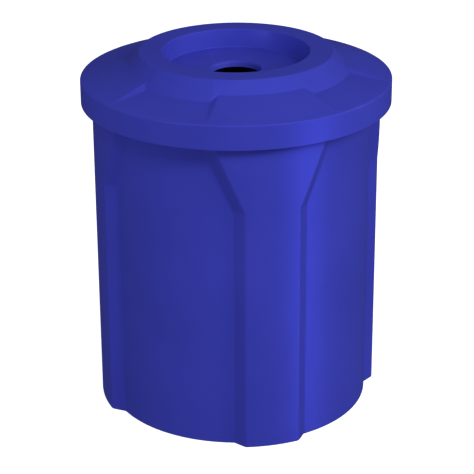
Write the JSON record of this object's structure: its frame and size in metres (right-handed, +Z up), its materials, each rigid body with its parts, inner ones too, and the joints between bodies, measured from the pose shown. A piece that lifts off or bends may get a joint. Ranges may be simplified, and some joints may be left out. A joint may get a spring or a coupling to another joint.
{
  "type": "recycling receptacle",
  "caption": "Round fluted outdoor recycling receptacle with a lift-off lid, a round drop hole in a sunken dish, and a lift-out rigid liner with two drop handles.",
  "frame": {"origin": "centre of the barrel's foot, on the ground", "axes": "+Z up; one raised panel of the barrel faces -Y, and the lid's tether anchor is on the +Y side"},
  "size_m": [0.64, 0.64, 0.7611],
  "materials": {
    "blue_plastic": "satin, through-coloured moulded polyethylene",
    "black_plastic": "satin moulded polyethylene",
    "stainless_steel": "plain stainless fastener",
    "zinc_plated_steel": "bright zinc plate"
  },
  "bodies": {
    "barrel": {"barrel": "blue_plastic", "barrel_anchor_bolt": "stainless_steel", "barrel_anchor_washer_outer": "stainless_steel", "barrel_anchor_washer_inner": "stainless_steel", "barrel_anchor_eye_nut": "stainless_steel"},
    "lid": {"lid": "blue_plastic", "lid_anchor_bolt": "stainless_steel", "lid_anchor_washer_outer": "stainless_steel", "lid_anchor_washer_inner": "stainless_steel", "lid_anchor_eye_nut": "stainless_steel"},
    "liner": {"rigid_liner": "black_plastic", "handle_saddle_left": "zinc_plated_steel", "rivet_left_1": "zinc_plated_steel", "rivet_left_2": "zinc_plated_steel", "rivet_left_3": "zinc_plated_steel", "rivet_left_4": "zinc_plated_steel", "handle_saddle_right": "zinc_plated_steel", "rivet_right_1": "zinc_plated_steel", "rivet_right_2": "zinc_plated_steel", "rivet_right_3": "zinc_plated_steel", "rivet_right_4": "zinc_plated_steel"},
    "handle_left": {"handle_left": "zinc_plated_steel"},
    "handle_right": {"handle_right": "zinc_plated_steel"}
  },
  "joints": [
    {"name": "lid_lift", "type": "slide", "parent": "barrel", "child": "lid", "axis": [0, 0, 1], "range_m": [0, 0.8]},
    {"name": "liner_lift", "type": "slide", "parent": "barrel", "child": "liner", "axis": [0, 0, 1], "range_m": [0, 0.725]},
    {"name": "right_handle_swing", "type": "hinge", "parent": "liner", "child": "handle_right", "pos_m": [0.2492, 0, 0.6402], "axis": [0, 1, 0], "range_deg": [0, 170]},
    {"name": "left_handle_swing", "type": "hinge", "parent": "liner", "child": "handle_left", "pos_m": [-0.2492, 0, 0.6402], "axis": [0, -1, 0], "range_deg": [0, 170]}
  ],
  "couplings": [
    {"joint": "liner_lift", "follows": "lid_lift", "ratio": 0.9}
  ]
}
